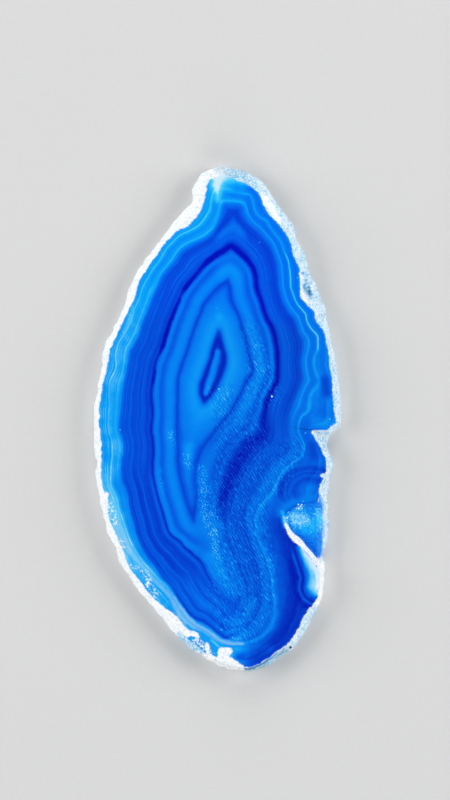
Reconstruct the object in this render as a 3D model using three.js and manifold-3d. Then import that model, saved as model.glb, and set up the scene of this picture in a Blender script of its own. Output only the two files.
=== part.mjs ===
import * as THREE from 'three';
import { ImprovedNoise } from 'three/addons/math/ImprovedNoise.js';
import { mergeVertices } from 'three/addons/utils/BufferGeometryUtils.js';
import Module from 'manifold-3d';

// An agate slice: one sawn and polished plate of banded stone inside its natural rind.
// It lies on its sawn back with the polished face up, its long axis along Y.
// All sizes are in millimetres.

// Main sizes
const SLICE_LENGTH = 126.4;
const SLICE_THICKNESS = 5.5;

// The rind is a rough wall that leans in from the base to the edge of the polished face.
const WALL_STEPS_AROUND = 440;
const WALL_STEPS_UP = 6;
const WALL_ROUNDING = 1.5;
const DRUM_RADIUS = 1;

// Roughness of the rind: how far it stands out or in, and how long each lump is
const LUMP_HEIGHT = 0.55;
const LUMP_LENGTH = 5.5;
const GRIT_HEIGHT = 0.35;
const GRIT_LENGTH = 1.7;
const FACE_EDGE_ROUGHNESS = 0.6;
const NOISE_LAYER = 7.3;

// Stations round the slice, clockwise from its narrow top end.
// Each has a point of the base outline (x, y) and the matching point on the edge of the
// polished face (x, y), so their distance is how far the rind leans in there.
const STATIONS = [
  [1.5, 63.2, 1.0, 61.5],
  [6.0, 62.2, 5.2, 59.8],
  [10.5, 59.5, 9.0, 57.5],
  [12.5, 57.5, 10.8, 55.2],
  [15.5, 52.8, 12.5, 51.8],
  [18.0, 49.2, 15.0, 49.2],
  [19.8, 45.0, 17.8, 45.0],
  [21.5, 41.8, 19.0, 40.5],
  [22.2, 39.2, 20.2, 38.0],
  [23.8, 35.0, 20.6, 34.5],
  [25.5, 31.2, 20.8, 30.5],
  [26.8, 26.8, 23.8, 27.0],
  [26.8, 25.2, 24.2, 24.8],
  [28.0, 22.2, 26.0, 22.5],
  [28.8, 17.5, 27.2, 18.8],
  [29.8, 12.5, 28.0, 12.8],
  [30.5, 7.0, 28.8, 7.2],
  [30.9, 2.2, 28.9, 2.5],
  [30.5, -1.8, 29.0, -1.0],
  [28.8, -3.2, 26.5, -2.8],
  [27.5, -5.2, 23.1, -2.8],
  [27.8, -8.2, 25.5, -6.8],
  [28.5, -10.5, 27.0, -10.2],
  [28.2, -13.0, 26.9, -13.2],
  [27.6, -16.2, 25.6, -16.8],
  [27.6, -21.5, 25.2, -21.5],
  [27.4, -26.8, 25.5, -26.8],
  [26.8, -32.0, 25.4, -32.0],
  [26.2, -34.5, 25.2, -34.5],
  [26.6, -37.5, 25.4, -37.8],
  [26.0, -41.8, 25.2, -41.8],
  [25.5, -45.2, 24.5, -45.2],
  [23.8, -49.2, 22.2, -48.5],
  [21.2, -54.0, 19.8, -53.2],
  [18.8, -57.2, 17.5, -56.2],
  [15.0, -60.2, 13.8, -59.0],
  [11.5, -62.2, 10.5, -61.0],
  [8.2, -63.1, 8.0, -62.2],
  [3.5, -62.5, 3.8, -61.5],
  [-0.2, -61.4, 0.2, -60.4],
  [-4.5, -59.0, -3.8, -57.8],
  [-8.0, -56.5, -7.0, -55.2],
  [-12.0, -52.4, -11.0, -51.4],
  [-15.5, -47.5, -14.5, -46.5],
  [-19.5, -43.2, -18.4, -42.2],
  [-22.2, -39.5, -21.0, -38.8],
  [-25.0, -34.5, -23.8, -34.0],
  [-26.9, -29.8, -25.6, -29.2],
  [-28.4, -24.8, -27.2, -24.2],
  [-30.0, -18.0, -28.6, -18.2],
  [-30.5, -13.8, -29.2, -13.8],
  [-30.2, -10.0, -29.0, -10.2],
  [-31.0, -7.2, -29.1, -7.2],
  [-31.1, -1.8, -29.8, -2.0],
  [-30.5, 5.2, -29.2, 5.2],
  [-29.2, 12.2, -28.1, 12.0],
  [-28.4, 18.2, -26.9, 17.8],
  [-25.2, 23.9, -24.0, 23.5],
  [-22.9, 30.5, -21.2, 30.0],
  [-21.4, 34.5, -19.8, 34.0],
  [-17.5, 40.8, -16.1, 40.2],
  [-14.2, 45.2, -12.8, 44.8],
  [-13.2, 46.6, -11.5, 46.0],
  [-8.2, 52.4, -6.8, 51.2],
  [-6.6, 55.0, -4.8, 54.5],
  [-6.1, 57.8, -4.4, 57.2],
  [-4.0, 61.2, -2.8, 59.8],
  [-1.8, 62.4, -1.2, 60.8],
];

// The chip beside the right edge: the outline of its floor, which runs out past the rind.
// The stone broke away there, deeper towards the lower end, and left a slanting wall.
const CHIP_FLOOR = [
  [17.2, -24.5],
  [17.5, -26.2],
  [18.2, -28.0],
  [19.8, -29.2],
  [21.2, -30.5],
  [22.2, -32.0],
  [23.5, -33.5],
  [25.0, -35.5],
  [27.0, -38.2],
  [30.0, -39.0],
  [30.0, -19.5],
  [25.0, -21.0],
  [21.5, -21.5],
  [18.8, -22.5],
  [17.5, -23.5],
];
const CHIP_WALL_RUN = 1.2;
const CHIP_WALL_RISE = 0.9;
const CHIP_DEPTH = 0.65;
const CHIP_PIVOT_Y = -28;
const CHIP_SLOPE_DEG = 4;
const CHIP_CUT_HEIGHT = 3;

// Pockets in the rind: the centre, and the radii along x, y and z
const POCKETS = [
  { centre: [22.7, 32.6, 4.0], radii: [1.2, 2.2, 1.3] },
  { centre: [13.6, 53.4, 4.3], radii: [0.7, 0.9, 0.7] },
  { centre: [17.8, 47.8, 4.2], radii: [0.8, 0.9, 0.7] },
  { centre: [18.5, -57.3, 4.0], radii: [0.7, 0.6, 0.9] },
  { centre: [26.6, -15.6, 4.4], radii: [0.9, 1.1, 0.8] },
];
const POCKET_TURNS = 14;
const POCKET_RINGS = 10;

const noise = new ImprovedNoise();

function closedCurve(points) {
  return new THREE.CatmullRomCurve3(points, true, 'centripetal');
}

// Uneven growth of the rind at a place: broad lumps with finer grit on them
function roughness(point) {
  const lumps = noise.noise(
    point.x / LUMP_LENGTH,
    point.y / LUMP_LENGTH,
    point.z / LUMP_LENGTH + NOISE_LAYER,
  );
  const grit = noise.noise(
    point.x / GRIT_LENGTH,
    point.y / GRIT_LENGTH,
    point.z / GRIT_LENGTH - NOISE_LAYER,
  );
  return LUMP_HEIGHT * lumps + GRIT_HEIGHT * grit;
}

// The plate starts as a plain drum. Each ring of its wall is pushed out to the outline of
// the slice at its own height. The two flat ends stay flat, with their centres in place.
function makePlate() {
  const baseCurve = closedCurve(STATIONS.map(([x, y]) => new THREE.Vector3(x, y, 0)));
  const faceCurve = closedCurve(STATIONS.map(([, , x, y]) => new THREE.Vector3(x, y, 0)));
  baseCurve.arcLengthDivisions = WALL_STEPS_AROUND * 2;

  const drum = new THREE.CylinderGeometry(
    DRUM_RADIUS,
    DRUM_RADIUS,
    SLICE_THICKNESS,
    WALL_STEPS_AROUND,
    WALL_STEPS_UP,
  );
  drum.rotateX(Math.PI / 2);
  drum.translate(0, 0, SLICE_THICKNESS / 2);

  const places = drum.attributes.position;
  const place = new THREE.Vector3();
  for (let i = 0; i < places.count; i += 1) {
    place.fromBufferAttribute(places, i);
    if (Math.hypot(place.x, place.y) > DRUM_RADIUS / 2) {
      const clockwise = Math.atan2(place.x, place.y) / (2 * Math.PI);
      const step = Math.round((clockwise + 1) * WALL_STEPS_AROUND) % WALL_STEPS_AROUND;
      const t = baseCurve.getUtoTmapping(step / WALL_STEPS_AROUND);
      const base = baseCurve.getPoint(t);
      const face = faceCurve.getPoint(t);
      const along = baseCurve.getTangent(t);
      const outward = new THREE.Vector3(-along.y, along.x, 0).normalize();

      const height = place.z / SLICE_THICKNESS;
      const leanIn = height ** WALL_ROUNDING;
      const edgeShare = THREE.MathUtils.lerp(1, FACE_EDGE_ROUGHNESS, leanIn);
      const wall = base.lerp(face, leanIn).setZ(place.z);
      wall.addScaledVector(outward, roughness(wall) * edgeShare);
      places.setXYZ(i, wall.x, wall.y, wall.z);
    }
  }
  return drum;
}

// The space where the stone broke away, as a block with a slanting lower edge
function makeChipCutter() {
  const outline = new THREE.Shape(
    CHIP_FLOOR.map(([x, y]) => new THREE.Vector2(x, y - CHIP_PIVOT_Y)),
  );
  const block = new THREE.ExtrudeGeometry(outline, {
    depth: CHIP_CUT_HEIGHT,
    bevelEnabled: true,
    bevelThickness: CHIP_WALL_RISE,
    bevelSize: CHIP_WALL_RUN,
    bevelSegments: 1,
  });
  block.translate(0, 0, CHIP_WALL_RISE);
  block.rotateX(THREE.MathUtils.degToRad(CHIP_SLOPE_DEG));
  block.translate(0, CHIP_PIVOT_Y, SLICE_THICKNESS - CHIP_DEPTH);
  return block;
}

function makePocket({ centre, radii }) {
  const pocket = new THREE.SphereGeometry(1, POCKET_TURNS, POCKET_RINGS);
  pocket.scale(...radii);
  pocket.translate(...centre);
  return pocket;
}

// Joining and cutting of closed shapes
const wasm = await Module();
wasm.setup();

function toSolid(geometry) {
  const shell = geometry.clone();
  shell.deleteAttribute('normal');
  shell.deleteAttribute('uv');
  const merged = mergeVertices(shell);
  return new wasm.Manifold(
    new wasm.Mesh({
      numProp: 3,
      vertProperties: new Float32Array(merged.attributes.position.array),
      triVerts: new Uint32Array(merged.index.array),
    }),
  );
}

function toGeometry(solid) {
  const mesh = solid.getMesh();
  const geometry = new THREE.BufferGeometry();
  geometry.setAttribute('position', new THREE.BufferAttribute(mesh.vertProperties, 3));
  geometry.setIndex(new THREE.BufferAttribute(mesh.triVerts, 1));
  geometry.computeVertexNormals();
  return geometry;
}

// Brings the stone to its full length, with its base on z = 0 under the middle of its box
function settle(geometry) {
  geometry.computeBoundingBox();
  const size = geometry.boundingBox.getSize(new THREE.Vector3());
  const scale = SLICE_LENGTH / size.y;
  geometry.scale(scale, scale, 1);
  geometry.computeBoundingBox();
  const middle = geometry.boundingBox.getCenter(new THREE.Vector3());
  geometry.translate(-middle.x, -middle.y, 0);
  return geometry;
}

let stone = toSolid(makePlate());
stone = stone.subtract(toSolid(makeChipCutter()));
for (const pocket of POCKETS) {
  stone = stone.subtract(toSolid(makePocket(pocket)));
}

const dyedAgate = new THREE.MeshStandardMaterial({
  color: new THREE.Color(0.01, 0.2, 0.8),
  roughness: 0.2,
  metalness: 0,
});

const slice = new THREE.Mesh(settle(toGeometry(stone)), dyedAgate);
slice.name = 'agate_slice';

const group = new THREE.Group();
group.add(slice);

export default group;
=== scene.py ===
"""Agate slice: dresses the stone of the shared frame and sets it on a studio floor."""
import math

import bmesh
import bpy
import numpy as np
from bpy.props import FloatProperty, FloatVectorProperty, IntProperty, PointerProperty
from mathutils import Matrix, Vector, noise
from mathutils.geometry import interpolate_bezier
from mathutils.kdtree import KDTree


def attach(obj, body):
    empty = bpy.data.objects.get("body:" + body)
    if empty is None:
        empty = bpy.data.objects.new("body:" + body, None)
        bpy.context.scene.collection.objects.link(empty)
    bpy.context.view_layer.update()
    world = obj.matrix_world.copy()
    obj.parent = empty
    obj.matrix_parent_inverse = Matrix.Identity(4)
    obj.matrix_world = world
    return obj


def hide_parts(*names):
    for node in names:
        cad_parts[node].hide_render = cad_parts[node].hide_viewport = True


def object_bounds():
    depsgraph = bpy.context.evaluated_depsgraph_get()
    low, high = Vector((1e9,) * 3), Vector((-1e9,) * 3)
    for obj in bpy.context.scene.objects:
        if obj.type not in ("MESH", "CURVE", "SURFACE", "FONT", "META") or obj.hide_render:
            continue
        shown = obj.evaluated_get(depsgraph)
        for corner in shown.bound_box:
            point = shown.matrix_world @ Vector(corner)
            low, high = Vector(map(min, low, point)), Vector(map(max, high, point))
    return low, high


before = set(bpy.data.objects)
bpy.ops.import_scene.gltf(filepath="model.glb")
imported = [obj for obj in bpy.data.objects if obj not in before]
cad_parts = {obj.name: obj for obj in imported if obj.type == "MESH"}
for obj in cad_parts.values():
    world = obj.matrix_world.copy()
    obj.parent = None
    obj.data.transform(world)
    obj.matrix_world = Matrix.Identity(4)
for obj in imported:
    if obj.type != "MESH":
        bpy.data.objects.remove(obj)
SOLID_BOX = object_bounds()

bl_info = {
    "name": "Dyed agate slice",
    "version": (1, 0, 0),
    "blender": (4, 5, 0),
    "location": "3D View > Sidebar > Agate",
    "description": "Builds a polished slice of blue-dyed agate and a small studio for it",
    "category": "Add Mesh",
}

STONE_NODE = "agate_slice"

# The materials of the stone, in the order of its slots
POLISHED, SAWN, RIND, BROKEN = range(4)

# Metres within which two points are one or a point lies in a sawn plane, the shortest arrow
# with a direction, and what keeps a share from a division by nothing
MERGE_DISTANCE = 1e-6
FLAT_TOLERANCE = 1e-6
NO_DIRECTION = 1e-6
TINY = 1e-9

# How level a face has to lie: in a sawn plane, beside the rim, and on the floor of the chip
FLAT_NORMAL = 0.9999
RIM_NORMAL = 0.99
CHIP_NORMAL = 0.7

# How far two triangles of the rind may differ and still be joined
WALL_FACE_ANGLE = math.radians(40)
WALL_SHAPE_ANGLE = math.radians(60)

# Relief of the rind as (strength, waves to the millimetre), its share at the sawn edges, and
# how soon its left swell is full as the rind turns left
RIND_RELIEF = ((0.8, 0.55), (0.5, 1.6), (0.4, 4.0))
EDGE_RELIEF = 0.5
SWELL_SPREAD = 1.6

# Crystals in the chip: their number to the millimetre, foot, top in metres and slow roll
CRYSTALS_PER_MM = 1.6
CRYSTAL_FOOT = 0.45
CRYSTAL_LIMIT = 0.0004
CRYSTAL_ROLL = 0.6
ROLL_PER_MM = 0.9

# The markings are traced on a grid of quarter millimetres, counted right and down.
TRACE_STEP = 0.00025
TRACE_CENTRE = (217.6, 418.75)
STEPS_PER_MM = 4
MM_PER_METRE = 1000

# Growth levels: 1 to 5 run from the heart of the stone out to the rind.
HEART_LEVEL = 0.78
RIND_LEVEL = 5.0

# A traced line keeps a turn sharper than this, and has a place on every so many grid steps.
CORNER_DEGREES = 70
LINE_STEP = 0.6

# The cover of a stroke is kept within so many millimetres of its edge.
COVER_LIMIT = 4

HEART = [(217.5, 352), (214, 365), (210, 380), (206, 393)]

RINGS = {
    1.0: [
        (219, 331), (222, 344), (225.5, 357), (223.5, 369), (219.5, 379.5), (215, 389),
        (210, 396), (204, 402), (200.5, 394), (200.5, 386), (205, 373), (210.5, 358), (214, 344),
    ],
    2.0: [
        (228, 280), (231, 290), (232, 300), (236, 309), (240, 318), (243, 330), (247, 342),
        (249, 353), (251, 362), (253, 370), (246, 383), (239, 398), (230, 413), (221, 424),
        (212, 436), (204, 447), (199, 458), (196, 470), (197, 500), (194, 522), (190, 514),
        (187, 506), (184, 496), (181, 484), (178.5, 472), (177, 460), (177, 450),
        (176.5, 435), (176.5, 420), (177, 405), (177.5, 392), (177.5, 380), (181, 366),
        (185, 355), (188.5, 345), (191, 337), (194, 328), (197, 320), (200, 313),
        (203, 305), (207, 299), (212, 293), (219, 286),
    ],
    3.0: [
        (231, 245), (240, 251), (248, 259), (253, 267), (256, 276), (257, 285), (259, 293),
        (262, 301), (265, 312), (268, 319), (272, 326), (275, 335), (277, 345), (278, 355),
        (278, 365), (278, 375), (277, 382), (272, 391), (268, 400), (266, 410), (264, 420),
        (263.5, 432), (256, 438), (247, 445), (240, 453), (235, 462), (231, 472),
        (228, 480), (224, 490), (221, 500), (219, 512), (221, 530), (225, 545), (231, 560),
        (238, 575), (244, 590), (244, 602), (240, 610), (236, 608), (228, 600), (220, 592),
        (213, 584), (208, 575), (204, 565), (199, 559), (192, 553), (185, 547), (180, 541),
        (173, 536), (168.5, 530.5), (166, 522), (163, 511), (159, 499), (156, 487), (153.5, 476),
        (153, 465), (153.5, 452), (153, 440), (151.5, 430), (152.5, 420), (153, 412),
        (152, 402), (151.5, 392), (152.5, 382), (154, 372), (156, 362), (162, 348),
        (166, 335), (170, 322), (175.5, 308), (180, 298), (185, 288), (191, 280), (197.5, 272.5),
        (202, 266.5), (207.5, 261), (214, 256), (222.5, 250.5),
    ],
    4.0: [
        (224, 205), (228, 204.5), (234, 204.5), (240, 205), (243, 208), (244, 213),
        (247, 219), (252, 225.5), (258.5, 231), (264.5, 237), (269.5, 243), (273.5, 251),
        (276.5, 260), (278.5, 268), (279, 276), (279.5, 285), (281, 293), (284, 302),
        (289, 311), (295, 318), (298, 325), (300, 333), (304, 340), (304, 350), (302, 360),
        (303, 370), (304, 378), (300, 390), (296, 400), (293, 408), (290, 418), (289, 428),
        (290, 440), (290, 447), (288, 453), (281, 458), (273, 464), (267, 472), (263, 480),
        (258, 488), (252, 497), (248, 507), (247, 520), (249, 533), (253, 545), (256, 555),
        (260, 568), (262, 580), (262, 595), (262, 605), (258, 615), (250, 625), (240, 632),
        (230, 636), (226, 638), (219, 634), (211, 627), (203, 621), (194, 618), (187, 611),
        (181, 602), (175, 593), (170, 586), (163, 579), (155, 567), (148, 558), (143, 550),
        (139, 542), (136, 533), (134, 524), (131, 514), (129, 505), (128, 495),
        (125.5, 488), (122, 480), (120.5, 470), (121, 460), (122.5, 452), (123, 445),
        (121, 437), (118.5, 430), (118.5, 420), (120, 410), (121, 400), (122, 390),
        (125, 375), (128, 360), (130, 350), (133, 345), (138, 335), (141, 325), (145, 315),
        (149, 305), (152, 297), (157, 285), (161, 275), (166, 268), (173, 260), (177, 253),
        (183, 247), (190, 243), (197, 240), (205, 236), (212, 230), (218, 222), (222, 213),
    ],
    4.7: [
        (211, 200), (213, 192), (219, 187), (226, 188), (233, 190), (244, 193), (250, 194),
        (253, 200), (254, 206), (256, 212), (261, 217), (267, 220), (270, 226), (274, 232),
        (279, 238), (282, 243), (284, 250), (287, 256), (289, 262), (290, 270), (291, 278),
        (291, 286), (293, 292), (295, 298), (298, 304), (303, 310), (306, 314), (307, 320),
        (310, 326), (314, 331), (318, 336), (318.5, 342), (318, 350), (315, 356),
        (314, 363), (315, 370), (318, 376), (320, 382), (318, 386), (313, 391), (310, 397),
        (309, 405), (308, 411), (302, 416), (299.5, 422), (298.5, 430), (301, 437),
        (304, 443), (304.5, 448), (303, 455), (297, 460), (290, 465), (284, 470),
        (280, 476), (276, 485), (272, 493), (266, 500), (260, 507), (256, 515),
        (255.5, 525), (257, 536), (261, 546), (265, 556), (269, 568), (272, 578),
        (272, 588), (274, 598), (275, 608), (274, 618), (270, 628), (264, 635), (257, 639),
        (250, 642), (243, 643), (234, 643), (224, 641), (216, 636), (208, 629), (199, 625),
        (191, 620), (184, 611), (178, 601), (172, 592), (165, 584), (157, 577), (150, 569),
        (142, 560), (136, 551), (131, 542), (127, 532), (123, 520), (119, 508), (117, 499),
        (114, 492), (111, 486), (111, 470), (112, 455), (112, 445), (111, 438), (109, 432),
        (109, 410), (109, 390), (110, 380), (112, 376), (115, 370), (116, 364), (115, 358),
        (116, 350), (118, 343), (122, 336), (127, 328), (131, 320), (133, 312), (136, 304),
        (139, 297), (141, 290), (144, 283), (149, 275), (153, 268), (158, 262), (163, 253),
        (167, 247), (172, 242), (177, 237), (183, 233), (190, 230), (197, 226), (202, 221),
        (206, 216), (209, 210),
    ],
}

# The darkest line of the wavy bands below the chip
WAVE_LINE = [
    (293.5, 547), (295, 552), (297.8, 560), (301.3, 570), (303.4, 577), (302.8, 583),
    (302.3, 588), (303.9, 594), (307.5, 598.6), (313, 601.5), (320, 603),
]

# The spine that parts the west side of the bands from the east side
SPINE = [
    (217, 160), (222, 200), (226, 280), (216, 370), (202, 470), (196, 522),
    (240, 610), (250, 680),
]

# A small eye of rings above the chip, a little flatter than round
EYE_CENTRE = (310, 492)
EYE_FLATNESS = 0.84

# Brush strokes on the tracing grid: each is a row of (x, y, radius).
STROKES = {
    "chalk": [
        [(222, 165, 7), (212, 168, 10), (203, 171, 10.5), (196, 181, 11), (192, 189, 14.4),
         (189, 197, 15.6), (186, 203, 16.6), (182, 207, 17.2), (177, 212, 17.4),
         (171, 217, 14.8), (163, 226, 9.5), (156, 236, 6), (149, 248, 5)],
        [(106, 494, 2.4), (104, 500, 3.5), (105.5, 512, 2.6), (108, 524, 2.2), (112.5, 534, 2.6),
         (116, 543, 3.4), (120, 553, 3.4), (125.5, 566, 2.6), (133, 579, 2), (143, 592, 2.4),
         (152, 602, 3.4)],
        [(156, 606, 4), (162, 612, 5), (168, 618, 6.5), (174, 624, 7.2), (180, 631, 6),
         (186, 634, 4.6)],
        [(190, 633, 2.2), (195, 634.5, 2.8), (198, 637, 1.6)],
        [(206.5, 644, 1.8), (207.5, 648, 2.2), (208, 653, 2)],
        [(222, 652.5, 4.3), (228, 651.5, 4.2)],
        [(221, 659, 4.8), (228, 661, 4.8), (235, 664.5, 3), (242, 667, 1.8)],
        [(209, 656, 2.5), (214, 660, 2.5), (222, 664, 3), (232, 667, 3)],
        [(323, 476, 2.4)],
    ],
    "ridge": [
        [(285.5, 524, 1.2), (289, 531, 2.1), (292, 536, 2.8), (296.5, 540, 3.6), (300.5, 543, 3),
         (305, 548, 2.2), (311, 554.5, 2.2), (317, 563, 2.8)],
    ],
    "crust": [
        [(109, 503, 2.5), (112, 512, 3), (115, 522, 2.5)],
        [(121, 541, 1.5), (125, 547, 2)],
        [(129, 565, 1.5), (137, 568, 1), (144, 571, 3), (147, 577, 3), (149, 585, 3),
         (155, 595, 3)],
        [(196, 641, 3.5), (201, 646, 4), (205, 650, 3), (211, 655, 3)],
    ],
    "grey": [
        [(180, 636, 3.5), (186, 642, 4), (193, 648, 4), (200, 653, 3)],
        [(229, 172, 5), (240, 175, 7), (252, 184, 6), (257, 191, 4)],
        [(302, 282, 5), (307, 291, 5)],
    ],
    "milk": [
        [(115, 519, 1.5), (119, 530, 4), (123, 540, 4.5), (128, 549, 3.6), (133, 556, 2),
         (141.7, 565, 1.4), (151.7, 576.7, 1.4), (161.7, 586.7, 1.7), (168, 593, 2),
         (173, 600, 2.8), (176.5, 606, 3.4), (181, 613, 4.4), (187.5, 620.5, 4.2),
         (195, 625.8, 3), (206, 630.8, 2.1), (213, 636.5, 2.1), (222.5, 642, 2.1),
         (231, 643.6, 1.8), (242.5, 643.8, 1.2)],
    ],
    "pale": [
        [(111, 502, 2), (114, 512, 3.5), (117, 522, 3.5), (120, 532, 2)],
        [(283, 513, 1.4), (284.5, 519, 3), (286, 526, 2.6)],
        [(133, 306, 0.8), (130, 318, 1.6), (127, 326, 1.2), (122, 335, 0.8)],
    ],
    "plume": [
        [(222, 171, 8), (218.5, 177, 8), (217, 184, 6.4), (218, 191, 3.8), (218, 200, 1.6)],
        [(302, 547, 2.4), (307, 553, 4), (312, 560, 4), (315, 567, 3)],
    ],
    "faint": [
        [(250, 197, 4), (256, 210, 5), (266, 220, 5), (277, 235, 5), (284, 250, 4)],
        [(317, 354, 4), (315, 364, 5), (319, 380, 5), (313, 391, 5), (309, 405, 5),
         (300, 420, 5), (299, 432, 5)],
        [(110, 380, 3), (108.5, 395, 3.4), (108.5, 428, 3.4), (111, 442, 2.4)],
        [(122, 377, 3), (120, 400, 4), (118.5, 428, 4), (121, 446, 4), (120.5, 470, 3)],
    ],
    "navy": [
        [(231, 246, 1.8), (224, 250.5, 2.4), (217.5, 254, 2.8), (207.5, 261, 2.8), (202, 267, 0.8)],
        [(197.5, 272.5, 0.6), (191, 280, 2), (185, 288, 2.6), (182.5, 292.5, 0.8)],
        [(180, 299, 1), (175, 310, 1.8), (170.5, 321, 2), (166.5, 333, 2.2), (162.7, 346, 2.2),
         (159.5, 354, 0.8)],
        [(155.5, 370, 0.6), (154, 378, 1.3), (152.5, 386, 0.6)],
        [(231, 246, 1.8), (238, 252, 2), (246, 259, 2), (252, 266, 1.8), (256, 275, 1)],
    ],
    "frost": [
        [(171, 434, 4), (174, 443, 3)],
        [(184, 452, 3), (187, 460, 4), (190, 467, 3)],
        [(201, 468, 4), (203, 480, 7), (207, 495, 10), (210, 512, 10), (212, 530, 7.5),
         (216, 546, 4.6), (219, 560, 2.6)],
        [(160, 470, 2), (163, 490, 2)],
    ],
    "saw": [
        [(212, 392, 6), (224, 395, 12), (232, 410, 20), (242, 440, 28), (242, 480, 28),
         (240, 530, 30), (246, 570, 32), (250, 605, 26), (250, 630, 14)],
        [(248, 325, 8), (258, 355, 12), (262, 390, 20)],
        [(292, 450, 14), (276, 480, 16)],
        [(214, 590, 8), (226, 618, 12), (238, 632, 12)],
    ],
    "cobalt": [
        [(312, 446, 4), (314, 456, 4)],
        [(325, 380, 4), (327, 393, 4)],
        [(239, 657, 3), (243, 656, 3)],
    ],
    "light": [
        [(315, 421, 4), (325, 424, 6), (332, 422, 3)],
        [(210, 560, 8), (222, 578, 8), (231, 592, 6)],
        [(251, 604, 6), (242, 618, 8), (234, 632, 7)],
        [(242, 650, 5), (255, 651, 6), (268, 648, 5)],
        [(219.5, 317, 2)],
        [(188, 448, 6), (187.5, 470, 6), (190, 490, 4.4), (192, 503, 2.6)],
        [(229, 179, 6), (227, 190, 4)],
    ],
    "pool": [
        [(297, 551, 5), (300, 562, 12), (304, 575, 15), (306, 588, 14), (308, 600, 9)],
        [(303.5, 549, 3.5), (308, 556, 5)],
        [(308, 558, 6), (312, 570, 10), (313, 582, 10), (314, 592, 7)],
    ],
    "bare": [[(248, 669, 4), (262, 667, 5), (275, 661, 5), (286, 653, 4)]],
    # Painted shadow: a dark dot for the shade inside a small pit in the lower rim
    "hole": [[(290.7, 648, 1.5)]],
    "clean": [
        [(320, 566, 4), (322, 580, 6), (321, 594, 5), (319, 604, 3)],
        [(286, 526, 2.4), (292, 536, 3.4), (298, 542, 4), (306, 549, 3.4), (316, 561, 4)],
        [(264, 199, 3), (271, 207, 3), (278, 219, 3)],
        [(301, 277, 1.6), (300, 284, 1.8), (301.5, 292, 2), (306, 302, 2.4)],
    ],
    "veil": [[(280, 513, 3), (285, 507, 4), (293, 502.5, 3.6), (303, 500, 3.4), (314, 498, 3.4)]],
    "sugar": [
        [(291, 516, 3), (297, 519, 7), (304, 521, 6.6)],
        [(284, 514, 1.5), (285.5, 520, 2.6), (287, 526, 1.6)],
        [(299, 507, 3.4)],
    ],
    "hail": [[(318, 512, 3), (321, 520, 5), (321, 528, 3)]],
    "teal": [[(305, 529, 5), (313, 527, 6), (318, 519, 5)]],
    "shade": [
        [(286, 503, 3), (291, 503, 3)],
        [(299, 536, 2), (306, 541, 4), (313, 548, 4), (316, 554, 3)],
    ],
    "glass": [[(318, 497, 3), (319.5, 512, 4), (320, 527, 4), (319, 541, 4), (318.5, 554, 4)]],
    "cavity": [
        [(306, 280, 1.4)], [(304.5, 284.5, 1.4), (303.8, 288, 1.1)], [(308.8, 287.3, 1)],
        [(309.5, 291.5, 1.8), (311.5, 294.5, 1.6)], [(303, 273, 1.5)], [(307, 275, 1)],
        [(320.6, 481.9, 1.1)],
    ],
}

# Single white grains, in the polished face and in the chip: (x, y, radius, tone)
GRAINS = [
    (271.9, 396.4, 1.4, 0.97), (219, 389, 1.1, 0.85), (259.7, 242, 1.0, 0.66),
    (239, 225.7, 0.8, 0.48), (120, 430, 0.9, 0.8), (216.4, 308, 0.8, 0.72), (305.5, 433, 1.1, 0.72),
    (221.3, 630, 1.3, 0.72),
    (297.5, 277.5, 0.9, 0.8), (330, 419, 0.8, 0.85), (330.8, 426, 0.9, 0.85),
    (298.5, 504.6, 1.2, 0.95), (301.8, 504.6, 1.1, 0.95), (303.3, 501.3, 1.4, 0.68),
]
CHIP_GRAINS = [
    (297.2, 505.2, 1.3, 1.0), (300.8, 505.8, 1.3, 1.0), (299, 508.6, 1.2, 0.97),
    (302, 508.5, 1, 0.9), (296.5, 508.3, 1, 0.9), (303.3, 501.5, 1.4, 0.85),
    (287.3, 517.8, 1.3, 1.0),
]

# How softly each stroke ends, in millimetres either side of its edge, and how softly the
# ridge ends on the broken stone
SOFT = {
    "chalk": 0.2, "ridge": 0.2, "crust": 0.5, "grey": 0.6, "milk": 0.35, "pale": 0.7,
    "plume": 1.3, "faint": 0.8, "navy": 0.35, "frost": 1.1, "saw": 1.5, "cobalt": 1.2,
    "light": 1.2, "bare": 0.5, "hole": 0.15, "clean": 0.8, "veil": 1.1, "sugar": 1.0,
    "hail": 0.9, "teal": 1.2, "shade": 1.1, "glass": 0.5, "cavity": 0.3,
}
CREST_SOFT = 0.16

# Two more edges, uneven, as millimetres of cover where the stroke begins and is full
POOL_EDGE = (-0.6, 0.8)
TEAL_EDGE = (-0.6, 0.8)

# The chip beside the right edge, as (left, right, top, bottom) on the grid: its floor and
# walls in the solid, what gets the look of broken stone, and what broke off the edge line
CHIP_HOLLOW = (278, math.inf, 494, 582)
CHIP_LOOK = (275, 317, 490, 574)
CHIP_GAP = (276, 318, 490, 582)
CHIP_FLOOR_HEIGHT = 0.0032
CHIP_BELOW_FACE = 1e-5

# The stretches down the grid over which one part of the stone gives way to the next
TOP_PART = (262, 302)
HIP_PART = (455, 495)
LOW_PART = (560, 605)
HOLLOW_PART = (395, 440)
TAIL_PART = (495, 530)
BRIGHT_PART = (300, 350)

# The same across it: half the blend along the spine, and the crown's middle and reach
SPINE_BLEND = 14
CROWN_MIDDLE = 231
CROWN_REACH = (9, 20)

# How bright the dye is away from the narrow end, and how much more on the west side
GLOW_LOW = 0.25
GLOW_WEST = 0.35

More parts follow.
